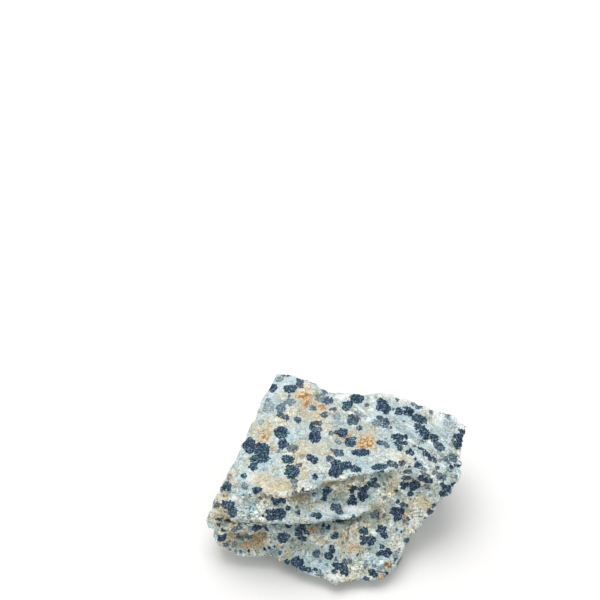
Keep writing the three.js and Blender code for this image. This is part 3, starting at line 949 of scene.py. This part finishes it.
# %% [markdown]
# Next come the patches that we stored on the vertices. A soft blob alone would look like spray paint. Noise
# added to it before it is cut gives the ragged, fleecy edge of a stain that crept between grains. A stain
# first soaks in, which multiplies the ground, and then covers it thinly. In the rusty patches the rust itself
# sits in orange-brown veins along the grains' borders, with darker crumbs.

# %% Material, broken feldspar: stains, painted shade and painted highlights
STAINS = [
    # patch, colour, mm across its ragged edge, where its cut starts and is full, how much it soaks and covers
    ("blue", "c8dfe8", 1.2, 0.55, 1.2, 0.65, 0.35),
    ("tan", "f8e5c9", 1.1, 0.55, 1.1, 0.9, 0.3),
    # brown: a real stain at the lower left, painted shade under the lip and the rim
    ("brown", "a8966e", 0.8, 0.7, 1.25, 0.7, 0.35),
    ("rust", "f5d8ae", 0.8, 0.6, 1.0, 0.9, 0.5),
    # white: pale rock, and painted highlights on the shelf and along the edges
    ("white", "fcfdfc", 1.2, 0.7, 1.15, 0.0, 0.85),
]
for name, colour, ragged, start, full, soaks, covers in STAINS:
    inputs = {"Vector": place, "Scale": per_mm(ragged), "Detail": 4.0, "Roughness": 0.65}
    fleece = add(tree, "TexNoise", inputs)
    level = add(tree, "Math", {0: stored["patch_" + name], 1: fleece}, operation="ADD")
    layers.append(Layer(level, start, full, soaks, colour, "MULTIPLY"))
    layers.append(Layer(level, start, full, covers, colour))

grit = add(tree, "TexNoise", {"Vector": place, "Scale": per_mm(0.5), "Detail": 2.0, "Roughness": 0.5})
veins = add(tree, "TexVoronoi", {"Vector": bent, "Scale": per_mm(0.75)})
inputs = {"Value": stored["patch_rust"], "From Min": 0.12, "From Max": 0.55, "To Max": 0.9}
most_rust = add(tree, "MapRange", inputs)
layers.append(Layer(veins, 0.46, 0.58, most_rust, "a97038"))
layers.append(Layer(grit, 0.56, 0.62, most_rust, "94683c"))
print("layers with the stains:", len(layers))

# %% [markdown]
# At the upper right the break ran along the cleavage and left long light and dark streaks. They are a noise
# stretched seven times in one direction. Fine pepper and salt are sown over everything; the white salt is
# partly pale grains and partly painted glints. On rough ground there are also seeds, single small grains of
# the dark mineral, each the middle of a cell. Then come the painted shade under the lip and the rim, and the
# almost black lines, dirt in the cracks and painted shadow under the edges, which a noise breaks off here and
# there.

# %% Material, broken feldspar: streaks, pepper, salt with painted glints, seeds, painted shade and dark lines
STREAK_TURN = math.radians(-41)
STREAK_LENGTH = 7  # times as long as they are wide

inputs = {"Vector": place, "Rotation": (0, 0, STREAK_TURN), "Scale": (STREAK_LENGTH, 1, 1)}
stretched = add(tree, "Mapping", inputs, vector_type="TEXTURE")
streaks = add(tree, "TexNoise", {"Vector": stretched, "Scale": per_mm(0.8), "Detail": 3.0})
most_streaks = add(tree, "MapRange", {"Value": stored["patch_streak"], "To Max": 0.85})
layers.append(Layer(streaks, 0.47, 0.38, most_streaks, "f8fafa"))
layers.append(Layer(streaks, 0.54, 0.63, most_streaks, "8f9f9c"))

most_pepper = add(tree, "MapRange", {"Value": rough, "From Min": 0.1, "To Min": 0.22, "To Max": 0.9})
layers.append(Layer(grit, 0.6, 0.66, most_pepper, "566052"))
# salt: white specks, partly pale grains and partly painted glints
layers.append(Layer(grit, 0.36, 0.3, 0.7, "ffffff"))

seeds = add(tree, "TexVoronoi", {"Vector": bent, "Scale": per_mm(1.2)})
seed_pick = add(tree, "SeparateColor", {"Color": seeds.outputs["Color"]})
most_seeds = add(tree, "MapRange", {"Value": rough, "From Min": 0.2, "To Max": 0.8})
inputs = {"Value": seed_pick, "From Min": 0.77, "From Max": 0.79, "To Max": most_seeds}
most_seeds = add(tree, "MapRange", inputs)
layers.append(Layer(seeds, 0.44, 0.34, most_seeds, "4c6470"))

gate = add(tree, "TexNoise", {"Vector": place, "Scale": per_mm(1.6), "Detail": 2.0})
gate = add(tree, "MapRange", {"Value": gate, "From Min": 0.36, "From Max": 0.42, "To Max": 0.95})
# painted shade in a band under the lip and the rim
layers.append(Layer(stored["under_edge_shade_distance"], 0.9, 0.2, 0.5, "6c6749"))
# almost black: dirt in the cracks, painted shadow under the lip and the rim
layers.append(Layer(stored["dirt_and_shadow_line_distance"], 0.36, 0.2, gate, "2a281c"))
print("layers with the cracks:", len(layers))

# %% [markdown]
# The rosettes are read from the stored distance. A fine cell pattern and some noise are added to it before it
# is cut at zero, so that every outline is crinkled. Around a rosette the ground is bleached to pale blue.

# %% Material, broken feldspar: the rosettes' edge and the bleached ground around them
PETAL = 0.62  # mm from petal to petal
SPREAD = 0.2  # mm that the mineral reaches beyond its grains

petals = add(tree, "TexVoronoi", {"Vector": place, "Scale": per_mm(PETAL)})
ruffle = add(tree, "TexNoise", {"Vector": place, "Scale": per_mm(0.3), "Detail": 2.0})
edge = add(tree, "Math", {0: stored["grain_distance"], 1: SPREAD}, operation="SUBTRACT")
crinkles = [(petals, 0, 0.8, 0.17), (ruffle, 0.3, 0.7, 0.2)]  # the range of each, and mm of crinkle
for pattern, low, high, crinkle in crinkles:
    inputs = {"Value": pattern, "From Min": low, "From Max": high, "To Min": -crinkle, "To Max": crinkle}
    shift = add(tree, "MapRange", inputs)
    edge = add(tree, "Math", {0: edge, 1: shift}, operation="ADD")
inputs = {"Value": zones, "From Min": 0.62, "From Max": 0.4, "To Max": 0.75}
most_halo = add(tree, "MapRange", inputs)
layers.append(Layer(edge, 0.8, 0, most_halo, "c3dce4"))
print("layers with the bleached ground:", len(layers))

# %% [markdown]
# Inside a rosette the mineral is almost black-blue at the rim and slate blue further in, with lighter flecks
# where small crystals catch the light. Some rosettes are a touch more teal, others a touch more violet.

# %% Material, broken feldspar: the rosettes' colour
flecks = add(tree, "TexNoise", {"Vector": place, "Scale": per_mm(0.45), "Detail": 3.0, "Roughness": 0.7})
depth = 0.0
depths = [(flecks, 0.34, 0.66, 0.05, 0.85), (petals, 0.35, 0.7, 0, 0.15), (edge, -0.3, 0, 0, 0.3)]
for pattern, low, high, least, most in depths:
    inputs = {"Value": pattern, "From Min": low, "From Max": high, "To Min": least, "To Max": most}
    part = add(tree, "MapRange", inputs)
    depth = add(tree, "Math", {0: depth, 1: part}, operation="ADD")
petal_mix = [(0.14, "88a2b5"), (0.34, "4a657f"), (0.54, "2b4359"), (0.8, "0f212c")]
petal = add(tree, "ValToRGB", {"Fac": depth}, stops=petal_mix)
hue = add(tree, "TexNoise", {"Vector": place, "Scale": per_mm(4), "Detail": 1.0})
inputs = {"Value": hue, "From Min": 0.35, "From Max": 0.65, "To Min": 0.475, "To Max": 0.52}
hue = add(tree, "MapRange", inputs)
petal = add(tree, "HueSaturation", {"Hue": hue, "Color": petal})
print("dark slate of the rosettes:", petal_mix[2][1])

# %% [markdown]
# A pale rosette isn't one flat grey. A thin film of pale rock covers it, and the dark mineral shows through
# in specks, more of them the darker its tone is. With that the last layer is known, and each layer in turn
# becomes two nodes: a Map Range cuts its driver and a Mix lays its colour over what is below.

# %% Material, broken feldspar: pale rosettes, and all layers laid on
inputs = {"Value": flecks, "From Min": 0.62, "From Max": 0.38, "To Min": -0.1, "To Max": 0.85}
speckled = add(tree, "MapRange", inputs)
speckled = add(tree, "Math", {0: stored["grain_tone"], 1: speckled}, operation="SUBTRACT")
inputs = {"Value": speckled, "From Min": -0.08, "From Max": 0.08, "To Min": 0.4, "To Max": 1.0}
speckled = add(tree, "MapRange", inputs)
darkness = add(tree, "MapRange", {"Value": stored["grain_tone"], "From Min": 0.2, "To Min": 0.5})
most_petal = add(tree, "Math", {0: speckled, 1: darkness}, operation="MULTIPLY")
layers.append(Layer(edge, 0.04, -0.04, most_petal, petal))

for layer in layers:
    inputs = {"Value": layer.driver, "From Min": layer.start, "From Max": layer.full, "To Max": layer.most}
    cover = add(tree, "MapRange", inputs)
    inputs = {"Factor": cover, "A": ground, "B": layer.colour}
    ground = add(tree, "Mix", inputs, data_type="RGBA", blend_type=layer.blend)
print("layers in all:", len(layers), "in", len(tree.nodes), "nodes")

# %% [markdown]
# Broken feldspar has a soft, slightly glassy glint from its small cleavage faces, so its roughness changes
# from grain to grain, from 0.5 to 0.85. Its IOR is about 1.53. The finest relief, under 0.3 mm, is too small
# for the mesh, so a bump does it: small tilted grains and a little dust.

# %% Material, broken feldspar: shine and the finest relief
grain_cells = add(tree, "TexVoronoi", {"Vector": bent, "Scale": per_mm(0.5)})
gloss = add(tree, "SeparateColor", {"Color": grain_cells.outputs["Color"]}).outputs["Blue"]
gloss = add(tree, "MapRange", {"Value": gloss, "To Min": 0.5, "To Max": 0.85})
height = add(tree, "Math", {0: grit, 1: grain_cells}, operation="SUBTRACT")
bump = add(tree, "Bump", {"Height": height, "Strength": 1.0, "Distance": 0.32 * MM})
shine = {"Base Color": ground, "Roughness": gloss, "IOR": 1.53, "Specular IOR Level": 0.3, "Normal": bump}
stone_surface = add(tree, "BsdfPrincipled", shine)
add(tree, "OutputMaterial", {"Surface": stone_surface})
rock.data.materials.clear()
rock.data.materials.append(rock_material)
rock.data.shade_smooth()
print("the stone's material has", len(tree.nodes), "nodes")

# %% [markdown]
# The stone lies on plain white card, which isn't part of the stone. Its white is a little below full, because
# nothing real reflects all light, and the lamps bring it up to white.

# %% Floor of white card
FLOOR_HALF = 2000  # mm, wide enough that no view sees its edge

card, tree = blank_material("white_card")
card_surface = add(tree, "BsdfPrincipled", {"Base Color": "f0efee", "Roughness": 0.9})
add(tree, "OutputMaterial", {"Surface": card_surface})

signs = [(-1, -1), (1, -1), (1, 1), (-1, 1)]
corners = [(x * FLOOR_HALF * MM, y * FLOOR_HALF * MM, 0) for x, y in signs]
floor_mesh = bpy.data.meshes.new("card_floor")
floor_mesh.from_pydata(corners, [], [(0, 1, 2, 3)])
floor_mesh.materials.append(card)
floor = bpy.data.objects.new("card_floor", floor_mesh)
scene.collection.objects.link(floor)
print("floor:", FLOOR_HALF * 2 * MM, "m square")

# %% [markdown]
# A product photographer lights a stone like this with one big soft box, high and behind to the left, and
# lets white walls fill the rest. The box gives the pale upper face, the walls keep the front readable, and
# the soft shadow falls to the lower right. The Standard view transform keeps white card white.

# %% Soft studio light
KEY_PLACE = (-64, 174, 590)  # mm
KEY_SIZE = 460  # mm
KEY_POWER = 2.64  # watts, which is plenty so near to so small a thing
WALL_LIGHT = 0.66  # strength of the white walls


def soft_box(name, place, size, power, target=(0, 0, 10)):
    """A square area lamp at a place in mm, aimed at the stone."""
    lamp = bpy.data.lights.new(name, "AREA")
    lamp.size = size * MM
    lamp.energy = power
    box = bpy.data.objects.new(name, lamp)
    box.location = Vector(place) * MM
    aim = Vector(target) - Vector(place)
    box.rotation_euler = aim.to_track_quat("-Z", "Y").to_euler()
    scene.collection.objects.link(box)
    return box


soft_box("key_box", KEY_PLACE, KEY_SIZE, KEY_POWER)

world = bpy.data.worlds.new("white_studio")
world.use_nodes = True
walls = world.node_tree.nodes["Background"]
walls.inputs["Color"].default_value = linear("ffffff")
walls.inputs["Strength"].default_value = WALL_LIGHT
scene.world = world
scene.view_settings.view_transform = "Standard"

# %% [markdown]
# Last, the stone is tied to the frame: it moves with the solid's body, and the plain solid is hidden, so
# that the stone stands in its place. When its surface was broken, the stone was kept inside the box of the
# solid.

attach(rock, "root")
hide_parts("rough_rock")

bpy.context.view_layer.update()
